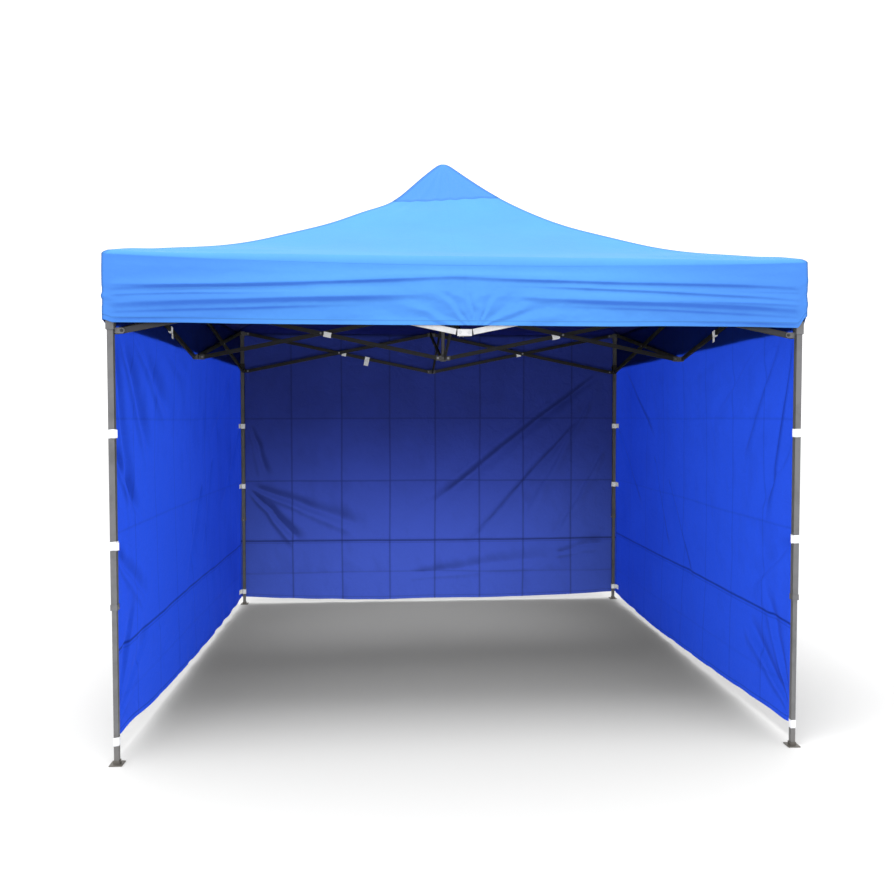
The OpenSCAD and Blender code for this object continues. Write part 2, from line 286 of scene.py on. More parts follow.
def stretch(tree, value, low, high):
    """Remaps low..high to 0..1."""
    inputs = {"Value": value, "From Min": low, "From Max": high}
    return add(tree, "ShaderNodeMapRange", inputs).outputs[0]


def bump_node(tree, height, normal, strength, distance):
    inputs = {"Strength": strength, "Distance": distance, "Height": height}
    if normal is not None:
        inputs["Normal"] = normal
    return add(tree, "ShaderNodeBump", inputs).outputs[0]


def dim(colour, share):
    return tuple(c * share for c in colour)


# ---------------------------------------------------------------- materials
def cloth_material(name, base, deep, cap_and_painted_shading=None, glow=0.0, pitch=0.0016, bounce=0.2,
                   through=None, crumple_depth=0.004, gloss=0.22, painted_glow=0.0, shade=None):
    """Coated plain weave with blotches from deep to base, painted shade in the creases, and dark
    seams with painted shade along the walls' top edge.

    cap_and_painted_shading: colour mixed in by the third mask: the roof's peak, painted shade
    towards the valance's ends, and painted light low on the rear wall and forward on the side
    walls;
    shade: colour of the painted shade in creases; pitch: thread spacing;
    glow: translucent share seen by the camera, and through the same for other rays;
    bounce: plain grey thrown on the surroundings, which keeps the pale floor neutral;
    lit: emission strength, a painted glow that brightens the cloth though it is no lamp.
    """
    material, tree = new_material(name)
    uv = add(tree, "ShaderNodeUVMap", uv_map="UVMap").outputs[0]
    attribute = add(tree, "ShaderNodeVertexColor", layer_name="cloth")
    masks = add(tree, "ShaderNodeSeparateColor", {0: attribute.outputs["Color"]})
    crease_shade, seam_and_shade, peak_and_shading_mask = masks.outputs[:3]

    # warp and weft: a wave texture of scale s repeats every 0.314 / s
    weave = {"Vector": uv, "Scale": 0.314 / pitch, "Distortion": 0.4}
    waves = [add(tree, "ShaderNodeTexWave", weave, wave_type="BANDS", bands_direction=axis)
             for axis in "XY"]
    thread = multiply(tree, waves[0].outputs["Fac"], waves[1].outputs["Fac"])
    blotch = noise_node(tree, uv, scale=2.2, detail=5.0, roughness=0.55)
    grain = noise_node(tree, uv, scale=55.0, detail=3.0, roughness=0.6)
    crumple = noise_node(tree, uv, scale=11.0, detail=6.0, roughness=0.62, distortion=0.6)

    colour = mix(tree, stretch(tree, blotch, low=0.3, high=0.7), deep, base)
    # the third mask mixes in the roof's peak colour, painted shade towards the valance's ends and
    # painted light on the walls
    if cap_and_painted_shading is not None:
        colour = mix(tree, peak_and_shading_mask, colour, cap_and_painted_shading)
    # darker: the weave's grain, painted shade in creases, seams, and painted shade along the
    # walls' top edge
    crease_shade_share = 0.55 if shade is None else 0.9
    for mask, share, tint in ((grain, 0.14, dim(deep, 0.6)),
                              (crease_shade, crease_shade_share, shade or dim(deep, 0.35)),
                              (seam_and_shade, 0.75, dim(deep, 0.25))):
        colour = mix(tree, multiply(tree, mask, share), colour, tint)
    seen = add(tree, "ShaderNodeLightPath").outputs["Is Camera Ray"]
    colour = mix(tree, seen, (bounce, bounce, bounce * 1.04), colour)

    normal = bump_node(tree, thread, None, strength=0.25, distance=0.0003)
    normal = bump_node(tree, crumple, normal, strength=0.45, distance=crumple_depth)
    # roughness swings by 0.22 round 0.62
    rough = combine(tree, "ADD", multiply(tree, blotch, 0.22), 0.62 - 0.11)
    inputs = {"Base Color": colour, "Roughness": rough, "Normal": normal,
              "Specular IOR Level": gloss, "Sheen Weight": gloss * 0.3, "Sheen Roughness": 0.5}
    # painted glow: the cloth gives off light in its own colour
    if painted_glow:
        inputs.update({"Emission Color": colour, "Emission Strength": painted_glow})
    surface = add(tree, "ShaderNodeBsdfPrincipled", inputs).outputs[0]
    if glow:
        far = add(tree, "ShaderNodeBsdfTranslucent", {"Color": colour, "Normal": normal})
        ends = {"Value": seen, "To Min": glow if through is None else through, "To Max": glow}
        share = add(tree, "ShaderNodeMapRange", ends).outputs[0]
        both = {0: share, 1: surface, 2: far.outputs[0]}
        surface = add(tree, "ShaderNodeMixShader", both).outputs[0]
    add(tree, "ShaderNodeOutputMaterial", {0: surface})
    return material


def solid_material(name, base, worn, rough, metal, bump, grain, wear=0.35, dust=0.0):
    """Paint, plating or plastic: blotches, worn scuffs, fine grain, dust near the ground.

    bump is the depth of the grain and grain its texture scale.
    """
    material, tree = new_material(name)
    place = add(tree, "ShaderNodeTexCoord").outputs["Object"]
    blotch = noise_node(tree, place, scale=14.0, detail=5.0, roughness=0.6)
    fine = noise_node(tree, place, scale=grain, detail=3.0, roughness=0.55)
    cell = add(tree, "ShaderNodeTexVoronoi", {"Vector": place, "Scale": grain * 0.6})
    scuff = stretch(tree, fine, low=0.62, high=0.74)
    patch = stretch(tree, blotch, low=0.45, high=0.7)
    colour = mix(tree, patch, base, dim(base, 0.78))
    colour = mix(tree, multiply(tree, multiply(tree, scuff, patch), wear), colour, worn)
    if dust:
        position = add(tree, "ShaderNodeNewGeometry").outputs["Position"]
        height = add(tree, "ShaderNodeSeparateXYZ", {0: position}).outputs[2]
        near_ground = stretch(tree, height, low=0.16, high=0.0)
        amount = multiply(tree, multiply(tree, near_ground, blotch), dust)
        colour = mix(tree, amount, colour, (0.30, 0.27, 0.22))
    relief = combine(tree, "ADD", multiply(tree, cell.outputs["Distance"], 0.7),
                     multiply(tree, fine, 0.3))
    round_edge = add(tree, "ShaderNodeBevel", {"Radius": 0.0009}, samples=4).outputs[0]
    normal = bump_node(tree, relief, round_edge, strength=0.45, distance=bump)
    # roughness swings by 0.24 round rough
    roughness = combine(tree, "ADD", multiply(tree, blotch, 0.24), rough - 0.12)
    inputs = {"Base Color": colour, "Metallic": metal, "Roughness": roughness, "Normal": normal}
    surface = add(tree, "ShaderNodeBsdfPrincipled", inputs)
    add(tree, "ShaderNodeOutputMaterial", {0: surface.outputs[0]})
    return material


# roof cloth: the darker third colour marks the roof's peak and is painted shade towards the
# valance's ends
ROOF = cloth_material(
    "roof_cloth", base=(0.100, 0.358, 0.90), deep=(0.090, 0.322, 0.86),
    cap_and_painted_shading=(0.074, 0.262, 0.80), shade=(0.044, 0.165, 0.66), glow=0.03, bounce=0.35, gloss=0.08)
# the roof cloth's underside, much darker than its top: painted shade under the roof
ROOF_IN = cloth_material(
    "roof_cloth_inside", base=(0.018, 0.028, 0.30), deep=(0.014, 0.022, 0.25),
    glow=0.03, bounce=0.06, gloss=0.08)
# side walls: the paler third colour is painted light forward on the walls, where light from the
# open front falls
WALLS = cloth_material(
    "wall_cloth", base=(0.013, 0.056, 0.64), deep=(0.010, 0.046, 0.57),
    cap_and_painted_shading=(0.026, 0.108, 0.93), glow=0.70, bounce=0.16, through=0.4, crumple_depth=0.018,
    gloss=0.10)
# the rear wall: the same cloth as the side walls, given far less glow and its own tones, painted
# shade; its paler third colour low down is painted light where light from the open front falls
REAR = cloth_material(
    "wall_cloth_rear", base=(0.056, 0.098, 0.66), deep=(0.046, 0.080, 0.56),
    cap_and_painted_shading=(0.090, 0.170, 0.90), glow=0.10, bounce=0.10, crumple_depth=0.018, gloss=0.14)
WALLS_OUT = cloth_material(
    "wall_cloth_outside", base=(0.026, 0.105, 0.70), deep=(0.022, 0.088, 0.62),
    glow=0.12, bounce=0.95, through=0.88, crumple_depth=0.018, gloss=0.12)
# the rear wall's outer face lets little light through and throws back little: a shaded copy of
# the wall cloth, painted shade
REAR_OUT = cloth_material(
    "wall_cloth_rear_outside", base=(0.026, 0.105, 0.70), deep=(0.022, 0.088, 0.62),
    glow=0.12, bounce=0.2, through=0.1, crumple_depth=0.018, gloss=0.12)
# the white webbing and ties glow a little: painted light
WEB = cloth_material(
    "strap_webbing", base=(0.90, 0.91, 0.94), deep=(0.84, 0.85, 0.88), pitch=0.0022, painted_glow=0.22)
TIE = cloth_material(
    "hook_and_loop_tie", base=(0.93, 0.94, 0.96), deep=(0.88, 0.89, 0.91), pitch=0.0022,
    painted_glow=0.22)

LEG_PAINT = solid_material(
    "leg_hammered_paint", base=(0.182, 0.182, 0.188), worn=(0.30, 0.30, 0.31),
    rough=0.42, metal=0.30, bump=0.0006, grain=420.0, dust=0.4)
# truss bars under the roof: a near-black copy of the truss paint, painted shade
SHADED_BAR_PAINT = solid_material(
    "truss_shaded_paint", base=(0.034, 0.034, 0.040), worn=(0.20, 0.20, 0.21),
    rough=0.40, metal=0.25, bump=0.0003, grain=420.0)
# inner truss bars: a near-black copy as well, painted shade
SHADED_INNER_PAINT = solid_material(
    "inner_truss_shaded_paint", base=(0.030, 0.030, 0.034), worn=(0.18, 0.18, 0.19),
    rough=0.42, metal=0.25, bump=0.0003, grain=420.0)
# front truss's lower bars and middle joint: a near-white copy of the same paint, painted light
# where light falls on them
LIT_FRONT_TRUSS_PAINT = solid_material(
    "front_truss_lit_paint", base=(0.74, 0.74, 0.76), worn=(0.50, 0.50, 0.52),
    rough=0.36, metal=0.40, bump=0.0002, grain=420.0)
JOINT = solid_material(
    "moulded_joint", base=(0.15, 0.15, 0.155), worn=(0.30, 0.30, 0.31),
    rough=0.50, metal=0.0, bump=0.0002, grain=700.0, wear=0.5)
PLASTIC = solid_material(
    "moulded_plastic", base=(0.030, 0.030, 0.032), worn=(0.11, 0.11, 0.115),
    rough=0.55, metal=0.0, bump=0.0002, grain=700.0, wear=0.5)
ZINC = solid_material(
    "zinc_plate", base=(0.62, 0.63, 0.66), worn=(0.80, 0.80, 0.82),
    rough=0.30, metal=0.95, bump=0.00008, grain=900.0)
FOOT = solid_material(
    "foot_paint", base=(0.085, 0.085, 0.09), worn=(0.30, 0.29, 0.28),
    rough=0.5, metal=0.4, bump=0.0005, grain=420.0, wear=0.8, dust=0.8)


# ---------------------------------------------------------------- finishes of the CAD parts
def solids(mesh):
    """Label of the connected solid each polygon belongs to, and each solid's size."""
    co = np.zeros(len(mesh.vertices) * 3, np.float32)
    mesh.vertices.foreach_get("co", co)
    places, place_of = np.unique(co.reshape(-1, 3), axis=0, return_inverse=True)
    loops = np.zeros(len(mesh.loops), np.int32)
    mesh.loops.foreach_get("vertex_index", loops)
    starts = np.zeros(len(mesh.polygons), np.int32)
    mesh.polygons.foreach_get("loop_start", starts)
    # the first three corners of each polygon
    corners = np.stack([loops[starts], loops[starts + 1], loops[starts + 2]], -1)
    triangles = place_of.reshape(-1)[corners]
    # spread the lowest label over each solid until nothing changes
    parent = np.arange(len(places))
    while True:
        lowest = parent[triangles].min(1)
        before = parent.copy()
        for corner in range(3):
            np.minimum.at(parent, triangles[:, corner], lowest)
        parent = parent[parent]
        if (parent == before).all():
            break
    labels = parent[triangles[:, 0]]
    sizes = {}
    for label in np.unique(labels):
        own = places[triangles[labels == label].reshape(-1)]
        sizes[label] = own.max(0) - own.min(0)
    return labels, sizes


def finish_of(node, size):
    """Finish of one solid, from its node's name and its two longest sides in millimetres."""
    longest, second = sorted((size * 1000).tolist(), reverse=True)[:2]
    if longest > 400:
        # the lit copy of the paint for the front bars where light falls, painted light; shaded
        # copies for the rest, painted shade
        if node.startswith("truss_front_bar_a"):
            return LIT_FRONT_TRUSS_PAINT
        if "inner_truss" in node:
            return SHADED_INNER_PAINT
        return SHADED_BAR_PAINT if "truss" in node else LEG_PAINT
    if node.startswith("leg_button"):
        return ZINC
    if node.startswith("slider_pin"):
        return ZINC if second < 7 else PLASTIC
    if "bar_" in node:
        # on the front b bars the ties and bolts are black plastic too: painted shade
        if longest > 40 or node.startswith("truss_front_bar_b"):
            return PLASTIC
        return WEB if second > 18 else ZINC
    if node.startswith("inner_leg"):
        return FOOT
    if second < 15.5 and longest < 30:
        # the front sliders' bolts are black: painted shade
        return PLASTIC if node.startswith("slider_front") else ZINC
    # the front's middle joint takes the lit copy too: painted light
    if node == "mid_lower_front":
        return LIT_FRONT_TRUSS_PAINT
    if node.startswith(("mid_", "hub_")):
        return JOINT
    if node.startswith(("outer_leg", "slider_front")):
        return LEG_PAINT
    return PLASTIC


def finish_part(name, mesh):
    labels, sizes = solids(mesh)
    mesh.materials.clear()
    used, slot_of = [], {}
    for label, size in sizes.items():
        material = finish_of(name, size)
        if material not in used:
            used.append(material)
            mesh.materials.append(material)
        slot_of[label] = used.index(material)
    slots = np.array([slot_of[label] for label in labels], np.int32)
    mesh.polygons.foreach_set("material_index", slots)
    mesh.update()


for name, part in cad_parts.items():
    if not name.startswith("roof") and name != "sidewall":
        finish_part(name, part.data)


# ---------------------------------------------------------------- roof
# how far each hip falls in under the edge of the peak's cap, front left round to rear left
HIP_FALL = (-0.031, -0.002, -0.016, -0.014)
CAP_EDGE = 0.7985  # share of the way up to the peak
ROOF_SQUASH = {"centre": -0.078, "keep": 0.04}
# extra rows over the fold at the roof's edge
EDGE_ROWS = [0.0002, 0.0006, 0.0012, 0.0020, 0.0030, 0.0045, 0.0090, 0.0115, 0.0150, 0.0170,
             0.0220]


def lift(up):
    """Height of the cloth above the eave: a concave sweep, a little full over the trusses."""
    sweep = 0.862 * (0.42 * up + 0.58 * up**2.62)
    inner_truss = 0.009 * bell(up - 0.47, 0.11)
    edge_truss = 0.007 * bell(up - 0.14, 0.10) * ease(up, 0.0, 0.03)
    return sweep + inner_truss + edge_truss


def edge_radius(across):
    """Radius of the fold over the roof's edge: tight at the corners, loose in the middle."""
    return 0.009 + 0.032 * (1 - across * across)


def gore(side):
    """A roof panel: across runs -1..1 from hip to hip, up 0..1 from the edge to the peak."""
    columns = graded(-1, 1, 0.0095, [(-1, 0.024, 0.0018), (1, 0.024, 0.0018),
                                     (0.002, 0.008, 0.002)])
    rows = graded(0, 0.9996, 0.0065, [(0.803, 0.010, 0.0016), (1, 0.07, 0.003)])
    rows = np.sort(np.concatenate([rows, EDGE_ROWS]))
    across, up = np.meshgrid(columns, rows)
    out = np.abs(across)
    x = across * ROOF_HALF * (1 - up)

    # fold over the edge, rounded peak, sag between the hips, fall of the hips under the cap
    radius = edge_radius(across)
    rolled = np.clip(up * ROOF_HALF / radius, 0, 1)
    dip = radius * (1 - np.sqrt(np.maximum(0, 1 - (1 - rolled) ** 2)))
    tip = 0.016
    soft_up = np.maximum(0, 1 - np.sqrt((1 - up) ** 2 + tip * tip) + 0.45 * tip * up)
    sag = 0.026 * np.sin(math.pi * np.minimum(1, up * 1.25)) ** 1.2 * (1 - across * across)
    to_right = ease(across, -1, 1)
    fall = HIP_FALL[side] * (1 - to_right) + HIP_FALL[(side + 1) % 4] * to_right
    z = EAVE + lift(soft_up) - sag - dip + fall * bell(up - 0.80, 0.085)
    # fuller at the corners
    z += 0.007 * bell(out - 1, 0.10) * ease(up, 0.0, 0.015) * fade(up, 0.05, 0.12)

    # soft drape, broad then fine, free of the hips and the edge
    hip = (1 - out) * ROOF_HALF * (1 - up)  # distance from the hip seam
    free = ease(hip, 0.0, 0.12) * ease(up, 0.01, 0.06)
    z += free * 0.0035 * layered_noise(x * 2.2 + 9 * side, up * 5, 40 + side)
    z += free * 0.0016 * layered_noise(x * 7 + 3 * side, up * 14, 50 + side)
    # pull lines fanning from the corners
    fan = np.arctan2(up * 2.2 + 0.02, 1.02 - out)
    pull = np.sin(fan * 17 + 2.0 * noise(fan * 3, side, 61))
    z += 0.0024 * free * pull * bell(np.hypot(up * 2.2, 1 - out) - 0.30, 0.24)
    # gathers under the peak
    gathers = np.sin(across * 21 + 1.5 * noise(across * 4, up * 3, 62 + side))
    z += 0.0022 * free * gathers * ease(up, 0.62, 0.84) * fade(up, 0.93, 0.985)
    # shallow hollow just above the edge
    hollow = 0.6 + 0.4 * noise(across * 3 + side, 0, 63)
    z -= 0.006 * bell(up - 0.10, 0.05) * (1 - across**4) * hollow
    # hip seam allowance and cap overlap, both ending short of the peak
    below_peak = fade(up, 0.97, 0.99)
    z += 0.0012 * fade(hip, 0.016, 0.020) * ease(up, 0.02, 0.05) * below_peak
    cap_and_painted_shading = ease(up, CAP_EDGE, 0.8015)
    z += 0.0010 * cap_and_painted_shading * below_peak

    # stitching beside the hip, the hip seam, the cap's edge and its stitching
    stitch = bell(hip - 0.016, 0.0030) * 0.30 * (up < 0.985) + bell(hip, 0.0085) * (up < 0.99)
    stitch = stitch + bell((up - CAP_EDGE) * ROOF_HALF, 0.004) * 0.8
    stitch = stitch + bell((up - 0.806) * ROOF_HALF, 0.003) * 0.35
    # painted shade along a faint crease down the middle
    crease_shade = bell(across - 0.002, 0.004) * 0.06 * (up < 0.79)
    points = np.stack([x, -ROOF_HALF * (1 - up), z], -1)
    uv = np.stack([x, up * 1.72], -1)
    mask = np.stack([crease_shade, stitch, cap_and_painted_shading], -1)
    obj = sheet("roof_gore_" + SIDES[side], turn(points, side), uv, mask, [ROOF, ROOF_IN])
    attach(obj, "roof_" + SIDES[side])
    squash_side(obj, side, **ROOF_SQUASH)
    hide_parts("roof_" + SIDES[side])


# ---------------------------------------------------------------- valance
# notches at each corner, front left round to rear left: (share down, width, stand-out)
CORNER_NOTCHES = [
    [(0.55, 0.05, -0.004), (0.73, 0.045, -0.005), (0.64, 0.04, 0.004)],
    [(0.34, 0.06, 0.002), (0.60, 0.05, -0.003), (0.78, 0.05, 0.003)],
    [(0.45, 0.06, -0.003), (0.70, 0.05, 0.003)],
    [(0.40, 0.05, 0.003), (0.66, 0.06, -0.003)],
]

# folds of each side's valance: (end they start from, -1 left or 1 right seen from outside,
# share down at that corner, share down at the middle, reach, stand-out, width)
VALANCE_FOLDS = [
    [(-1, 0.72, 0.46, 1.00, 0.015, 0.085), (-1, 0.50, 0.18, 1.15, 0.010, 0.055),
     (-1, 0.44, 0.30, 0.70, 0.005, 0.030), (-1, 0.60, 0.40, 0.62, 0.005, 0.028),
     (-1, 0.93, 0.84, 0.42, 0.006, 0.040), (-1, 0.84, 0.62, 0.80, 0.005, 0.035),
     (1, 0.40, 0.18, 1.15, 0.010, 0.055), (1, 0.47, 0.36, 0.45, 0.005, 0.028),
     (1, 0.57, 0.30, 0.95, 0.008, 0.045), (1, 0.73, 0.48, 0.95, 0.014, 0.075),
     (1, 0.66, 0.52, 0.50, 0.005, 0.030), (1, 0.93, 0.86, 0.45, 0.007, 0.040),
     (1, 0.84, 0.60, 0.85, 0.004, 0.035)],
    [(-1, 0.70, 0.46, 0.9, 0.012, 0.08), (-1, 0.42, 0.22, 0.9, 0.008, 0.06),
     (1, 0.60, 0.36, 1.0, 0.012, 0.08), (1, 0.85, 0.74, 0.6, 0.007, 0.05)],
    [(-1, 0.62, 0.40, 1.0, 0.012, 0.08), (-1, 0.86, 0.76, 0.5, 0.007, 0.05),
     (1, 0.66, 0.42, 0.9, 0.012, 0.08), (1, 0.40, 0.22, 0.9, 0.008, 0.06)],
    [(-1, 0.64, 0.38, 1.0, 0.012, 0.08), (-1, 0.38, 0.20, 0.8, 0.008, 0.06),
     (1, 0.74, 0.48, 0.9, 0.012, 0.08), (1, 0.52, 0.30, 0.9, 0.008, 0.06)],
]


def corner_kink(down, corner):
    """How far a corner of the valance stands out, with the notches where folds wrap it."""
    out = 0.0012 * ease(down, 0.0, 0.25)
    for centre, width, depth in CORNER_NOTCHES[corner % 4]:
        out = out + 0.6 * depth * bell(down - centre, width)
    return np.maximum(out, 0) * ease(down, 0, 0.08)


def valance_relief(side, across, down):
    """How far the valance stands out between its corners, before it is held at the top."""
    out = 0.005 * np.sin(math.pi * np.minimum(down * 1.1, 1)) + 0.0015
    for end, at_corner, at_middle, reach, depth, width in VALANCE_FOLDS[side]:
        along = 1 - end * across  # 0 at its corner
        place = at_corner + (at_middle - at_corner) * np.clip(along, 0, 1.4) ** 0.8
        place = place + 0.020 * noise(across * 2.5 + 5 * end, at_corner * 9, 80 + side)
        strength = (0.45 + 0.55 * ease(along, 0.0, 0.22)) * fade(along, reach - 0.45, reach)
        out = out + depth * strength * ridge((down - place) / width, before=1.9, after=0.75)
    # broad and fine drape
    out = out + 0.0022 * layered_noise(across * 4 + side, down * 3, 90 + side)
    out = out + 0.0012 * layered_noise(across * 20 + side, down * 6, 95 + side)
    # small gathers that fan out over the middle of the lower edge
    dx, dz = (across - 0.03) * ROOF_HALF, (1.12 - down) * VALANCE
    angle, radius = np.arctan2(dx, dz), np.hypot(dx * 0.55, dz)
    gathers = np.sin(angle * 15 + 1.8 * noise(angle * 4, radius * 20, 99 + side))
    return out + 0.0019 * gathers * bell(radius - 0.12, 0.11) * ease(down, 0.25, 0.6)


def valance(side):
    """The band under a roof edge: across runs -1..1, down 0..1 from top to lower edge."""
    columns = graded(-1, 1, 0.0046, [(-1, 0.03, 0.0012), (1, 0.03, 0.0012)])
    rows = graded(0, 1, 0.0135, [(0.0, 0.025, 0.004), (0.92, 0.03, 0.005)])
    across, down = np.meshgrid(columns, rows)
    from_middle = np.abs(across)
    top = EAVE - edge_radius(across)
    bottom = EAVE - VALANCE + 0.0025 * noise(across * 5 + 7 * side, 0, 70 + side)
    # the corner pieces are cut back a little, most of all at the front right corner
    for end, deepest_side in ((1, 0), (-1, 1)):
        cut = 0.050 if side == deepest_side else 0.012
        bottom = bottom + cut * ease(end * across * ROOF_HALF, ROOF_HALF - 0.045, ROOF_HALF)
    z = top + (bottom - top) * down

    out = valance_relief(side, across, down)
    out = np.maximum(out, 0.0003) * ease(down, 0, 0.16)
    corner = ease(from_middle, 0.955, 1.0)
    kink = np.where(across < 0, corner_kink(down, side), corner_kink(down, side + 1))
    out = out * (1 - corner) + kink * corner
    x = across * ROOF_HALF + np.sign(across) * kink * ease(from_middle, 0.985, 1.0)
    # the top edge meets the roof's edge flush
    z = z + 0.0004 * fade(down, 0.0, 0.02)
    above = (1 - down) * VALANCE  # distance above the lower edge
    out = out + 0.0009 * fade(above, 0.021, 0.025) * (1 - corner)  # hem

    # painted shade on the undersides of the folds and along a faint crease in the middle; darken
    # the hem's stitching and the corner seams
    slope = np.gradient(out, axis=0) / np.gradient(z, axis=0)
    under = np.clip(slope * 1.6, 0, 1) * (1 - corner)
    crease_shade = bell(across, 0.003) * 0.08 + 1.15 * under
    stitch = bell(above - 0.022, 0.0028) * 0.5 + 0.8 * bell(from_middle - 1, 0.0035)
    # rows are flipped so that the normal looks outward
    points = np.stack([x, -ROOF_HALF - out, z], -1)[::-1]
    uv = np.stack([x, z], -1)[::-1]
    # the third mask darkens the valance towards its ends: painted shade
    mask = np.stack([crease_shade, stitch, ease(from_middle, 0.30, 0.85)], -1)[::-1]
    obj = sheet("valance_" + SIDES[side], turn(points, side), uv, mask, [ROOF, ROOF_IN])
    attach(obj, "mid_upper_" + SIDES[side])
    squash_side(obj, side, **ROOF_SQUASH)


for side in range(4):
    gore(side)
    valance(side)


# ---------------------------------------------------------------- wall
# creases left by folding the cloth to pack it: places along the wall (x on the rear), heights
REAR_UPRIGHTS = [-1.10, -0.71, -0.33, 0.03, 0.39, 0.74, 1.13]
SIDE_UPRIGHTS = [-1.11, -0.74, -0.37, 0.0, 0.37, 0.74, 1.11]
LEVELS = [1.46, 0.965, 0.235]

# folds: (place, height) at the start, (place, height) at the end, stand-out, width;
# place is x on the rear wall and the distance from the open front end on the side walls
REAR_FOLDS = [
    (1.427, 1.89, 0.02, 0.78, 0.015, 0.030), (1.19, 1.45, 0.36, 0.50, 0.013, 0.028),
    (1.30, 1.62, 0.80, 0.72, 0.007, 0.022), (1.40, 1.20, 1.05, 0.55, 0.007, 0.020),
    (-1.42, 0.90, -1.06, 0.50, 0.011, 0.020), (-1.42, 0.93, -0.60, 0.62, 0.007, 0.028),
    (-1.42, 1.42, -1.30, 1.00, 0.006, 0.018), (1.0, 0.36, 1.36, 0.46, 0.005, 0.020),
    (-0.2, 0.20, 0.9, 0.34, 0.005, 0.030),
]
SIDE_FOLDS = [
    (0.02, 2.10, 0.62, 1.30, 0.012, 0.030), (0.02, 2.10, 0.95, 1.52, 0.011, 0.030),
    (0.02, 2.08, 0.34, 1.00, 0.010, 0.026), (0.05, 2.10, 1.30, 1.76, 0.008, 0.026),
    (0.02, 1.40, 0.42, 1.02, 0.008, 0.022), (0.02, 0.93, 0.50, 0.62, 0.008, 0.024),
    (0.02, 0.12, 0.50, 0.42, 0.011, 0.026), (0.02, 0.12, 0.30, 0.60, 0.009, 0.022),
    (2.95, 2.0, 2.1, 1.35, 0.009, 0.030), (2.95, 1.40, 2.35, 0.85, 0.008, 0.026),
    (1.75, 1.05, 1.35, 0.50, 0.010, 0.032), (2.05, 1.2, 1.75, 0.62, 0.007, 0.026),
]
SEAM_RISE = {1: 0.040, 2: 0.0, 3: -0.030}  # of each wall's low seam


def lower_edge(side, run, open_end):
    """Height of the wall's lower edge above the ground."""
    if side == 2:
        return 0.018 + 0.034 * np.abs(run / WALL_OUT) ** 3 + 0.004 * noise(run * 2.3, 0, 101)
    hem = 0.050 + 0.036 * bell(open_end - 0.22, 0.26) * (1 - 0.5 * (side == 1))
    hem = hem + 0.018 * bell(open_end, 0.09) - 0.026 * ease(open_end, 0.5, 1.7)
    return hem + 0.022 * ease(open_end, 2.3, 3.0) + 0.005 * noise(run * 2.1, 0, 103 + side)


def pulled_folds(folds, place, z, gain):
    """Tapering folds, each with a hollow beside it."""
    out = 0
    for x0, z0, x1, z1, depth, width in folds:
        across, along = from_line(place, z, x0, z0, x1, z1)
        strength = ease(along, -0.02, 0.12) * fade(along, 0.82, 1.12)
        spread = width * (0.55 + 0.9 * np.clip(along, 0, 1))
        offset = (across + 0.010 * noise(along * 5, x1, 131)) / spread
        section = ridge(offset, before=1.7, after=0.7) - 0.35 * bell(offset - 1.6, 0.9)
        out = out + gain * depth * strength * section
    return out


def packing_creases(side, run, x, z, uprights, gain):
    """Relief of the grid of packing folds, and painted shade along them; neighbours fold opposite
    ways.
    """
    out, crease_shade = 0, 0
    for i, place in enumerate(uprights):
        offset = x - place + 0.004 * noise(z * 2.0, i, 140 + side)
        depth = 0.0026 if i % 2 else -0.0026
        out = out + depth * gain * np.maximum(0, 1 - np.abs(offset) / 0.20) ** 3
        crease_shade = crease_shade + gain * 0.9 * bell(offset, 0.0062)
    for i, height in enumerate(LEVELS):
        offset = z - height + 0.005 * noise(run * 1.7, i, 150 + side)
        depth = -0.0024 if i % 2 else 0.0024
        out = out + depth * gain * np.maximum(0, 1 - np.abs(offset) / 0.16) ** 3
        crease_shade = crease_shade + gain * (0.75 if i < 2 else 0.45) * bell(offset, 0.0058)
    return out, crease_shade


